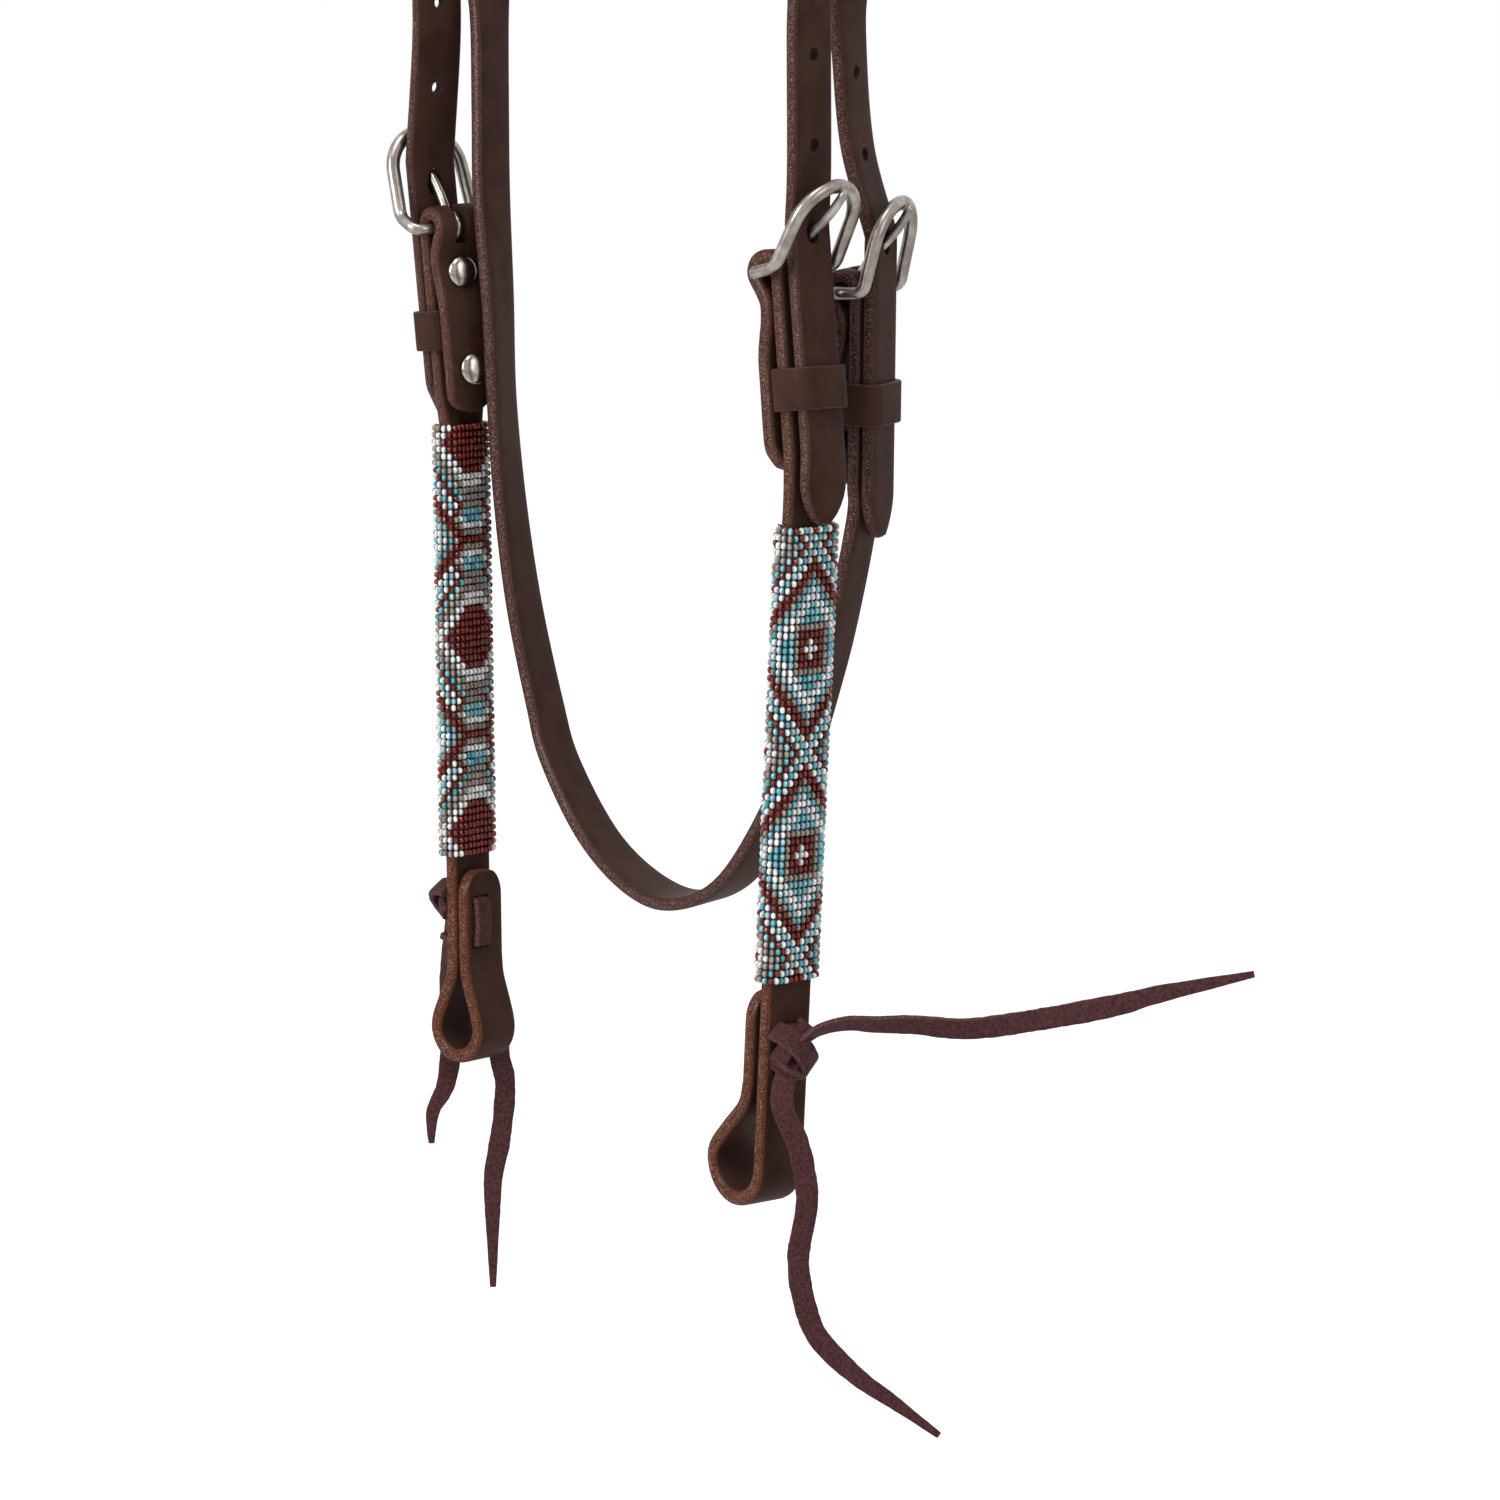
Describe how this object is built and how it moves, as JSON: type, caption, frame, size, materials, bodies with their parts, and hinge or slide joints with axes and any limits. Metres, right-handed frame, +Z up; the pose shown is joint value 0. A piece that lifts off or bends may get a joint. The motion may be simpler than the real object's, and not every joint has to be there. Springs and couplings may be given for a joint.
{
  "type": "western headstall",
  "caption": "Western browband headstall: buckled leather crown, cheeks and throatlatch, beaded sleeves over the cheeks, screwed straps and laced loops at the cheek ends for a bit.",
  "frame": {"origin": "centre of the crown strap's underside, where it rests on the horse's poll", "axes": "+Z up, +X to the horse's near (left) side, -Y the way the horse faces"},
  "size_m": [0.2705, 0.2276, 0.5916],
  "materials": {
    "crown_strap": "oiled dark brown bridle leather, satin grain, burnished edges",
    "throatlatch_strap": "oiled dark brown bridle leather, satin grain, burnished edges",
    "near_cheek_strap": "oiled dark brown bridle leather, satin grain, burnished edges",
    "off_cheek_strap": "oiled dark brown bridle leather, satin grain, burnished edges",
    "near_beaded_sleeve": "opaque glass seed beads in rows over a leather sleeve",
    "off_beaded_sleeve": "opaque glass seed beads in rows over a leather sleeve",
    "near_bit_lace": "matt burgundy-brown latigo lace with raw edges",
    "off_bit_lace": "matt burgundy-brown latigo lace with raw edges",
    "browband_strap": "oiled dark brown bridle leather, satin grain, burnished edges",
    "browband_beaded_sleeve": "opaque glass seed beads in rows over a leather sleeve",
    "near_cheek_buckle_frame": "satin stainless wire",
    "near_cheek_buckle_tongue": "satin stainless wire",
    "near_cheek_keeper": "dark brown leather loop, satin",
    "off_cheek_buckle_frame": "satin stainless wire",
    "off_cheek_buckle_tongue": "satin stainless wire",
    "off_cheek_keeper": "dark brown leather loop, satin",
    "throat_buckle_frame": "satin stainless wire",
    "throat_buckle_tongue": "satin stainless wire",
    "throat_keeper": "dark brown leather loop, satin",
    "near_cheek_upper_screw_post": "polished nickel plate",
    "near_cheek_upper_screw_cap": "polished nickel plate",
    "near_cheek_lower_screw_post": "polished nickel plate",
    "near_cheek_lower_screw_cap": "polished nickel plate",
    "off_cheek_upper_screw_post": "polished nickel plate",
    "off_cheek_upper_screw_cap": "polished nickel plate",
    "off_cheek_lower_screw_post": "polished nickel plate",
    "off_cheek_lower_screw_cap": "polished nickel plate",
    "throat_upper_screw_post": "polished nickel plate",
    "throat_upper_screw_cap": "polished nickel plate",
    "throat_lower_screw_post": "polished nickel plate",
    "throat_lower_screw_cap": "polished nickel plate",
    "near_browband_screw_post": "polished nickel plate",
    "near_browband_screw_cap": "polished nickel plate",
    "off_browband_screw_post": "polished nickel plate",
    "off_browband_screw_cap": "polished nickel plate"
  },
  "bodies": {
    "headstall": {"crown_strap": "crown_strap", "throatlatch_strap": "throatlatch_strap", "near_cheek_strap": "near_cheek_strap", "off_cheek_strap": "off_cheek_strap", "near_beaded_sleeve": "near_beaded_sleeve", "off_beaded_sleeve": "off_beaded_sleeve", "near_bit_lace": "near_bit_lace", "off_bit_lace": "off_bit_lace", "near_cheek_upper_screw_post": "near_cheek_upper_screw_post", "near_cheek_upper_screw_cap": "near_cheek_upper_screw_cap", "near_cheek_lower_screw_post": "near_cheek_lower_screw_post", "near_cheek_lower_screw_cap": "near_cheek_lower_screw_cap", "off_cheek_upper_screw_post": "off_cheek_upper_screw_post", "off_cheek_upper_screw_cap": "off_cheek_upper_screw_cap", "off_cheek_lower_screw_post": "off_cheek_lower_screw_post", "off_cheek_lower_screw_cap": "off_cheek_lower_screw_cap", "throat_upper_screw_post": "throat_upper_screw_post", "throat_upper_screw_cap": "throat_upper_screw_cap", "throat_lower_screw_post": "throat_lower_screw_post", "throat_lower_screw_cap": "throat_lower_screw_cap"},
    "near_cheek_frame": {"near_cheek_buckle_frame": "near_cheek_buckle_frame"},
    "near_cheek_tongue": {"near_cheek_buckle_tongue": "near_cheek_buckle_tongue"},
    "near_cheek_keeper_loop": {"near_cheek_keeper": "near_cheek_keeper"},
    "off_cheek_frame": {"off_cheek_buckle_frame": "off_cheek_buckle_frame"},
    "off_cheek_tongue": {"off_cheek_buckle_tongue": "off_cheek_buckle_tongue"},
    "off_cheek_keeper_loop": {"off_cheek_keeper": "off_cheek_keeper"},
    "throat_frame": {"throat_buckle_frame": "throat_buckle_frame"},
    "throat_tongue": {"throat_buckle_tongue": "throat_buckle_tongue"},
    "throat_keeper_loop": {"throat_keeper": "throat_keeper"},
    "browband": {"browband_strap": "browband_strap", "browband_beaded_sleeve": "browband_beaded_sleeve", "near_browband_screw_post": "near_browband_screw_post", "near_browband_screw_cap": "near_browband_screw_cap", "off_browband_screw_post": "off_browband_screw_post", "off_browband_screw_cap": "off_browband_screw_cap"}
  },
  "joints": [
    {"name": "near_frame_swing", "type": "hinge", "parent": "headstall", "child": "near_cheek_frame", "pos_m": [0.0775, 0, -0.2555], "axis": [-0.2401, 0.9703, -0.0295], "range_deg": [-2, 2]},
    {"name": "near_tongue_swing", "type": "hinge", "parent": "headstall", "child": "near_cheek_tongue", "pos_m": [0.0775, 0, -0.2555], "axis": [-0.2401, 0.9703, -0.0295], "range_deg": [-2.6, 2.6]},
    {"name": "near_keeper_slide", "type": "slide", "parent": "headstall", "child": "near_cheek_keeper_loop", "axis": [-0.1219, 0, 0.9925], "range_m": [-0.001, 0.0045]},
    {"name": "off_frame_swing", "type": "hinge", "parent": "headstall", "child": "off_cheek_frame", "pos_m": [-0.093, 0, -0.2538], "axis": [-0.0038, 0.9991, 0.0434], "range_deg": [-1.5, 1.5]},
    {"name": "off_tongue_swing", "type": "hinge", "parent": "headstall", "child": "off_cheek_tongue", "pos_m": [-0.093, 0, -0.2538], "axis": [-0.0038, 0.9991, 0.0434], "range_deg": [-2.1, 2.1]},
    {"name": "off_keeper_slide", "type": "slide", "parent": "headstall", "child": "off_cheek_keeper_loop", "axis": [-0.0871, -0.0436, 0.9952], "range_m": [-0.0032, 0.0025]},
    {"name": "throat_frame_swing", "type": "hinge", "parent": "headstall", "child": "throat_frame", "pos_m": [0.0735, 0.027, -0.262], "axis": [-0.4999, 0.866, 0.0087], "range_deg": [-2, 2]},
    {"name": "throat_tongue_swing", "type": "hinge", "parent": "headstall", "child": "throat_tongue", "pos_m": [0.0735, 0.027, -0.262], "axis": [-0.4999, 0.866, 0.0087], "range_deg": [-2.6, 2.6]},
    {"name": "throat_keeper_slide", "type": "slide", "parent": "headstall", "child": "throat_keeper_loop", "axis": [0.0174, 0, 0.9998], "range_m": [-0.0022, 0.0035]},
    {"name": "browband_slide", "type": "slide", "parent": "headstall", "child": "browband", "axis": [0, 0, 1], "range_m": [-0.01, 0.01]}
  ],
  "couplings": [
    {"joint": "near_tongue_swing", "follows": "near_frame_swing", "ratio": 1},
    {"joint": "off_tongue_swing", "follows": "off_frame_swing", "ratio": 1},
    {"joint": "throat_tongue_swing", "follows": "throat_frame_swing", "ratio": 1}
  ]
}
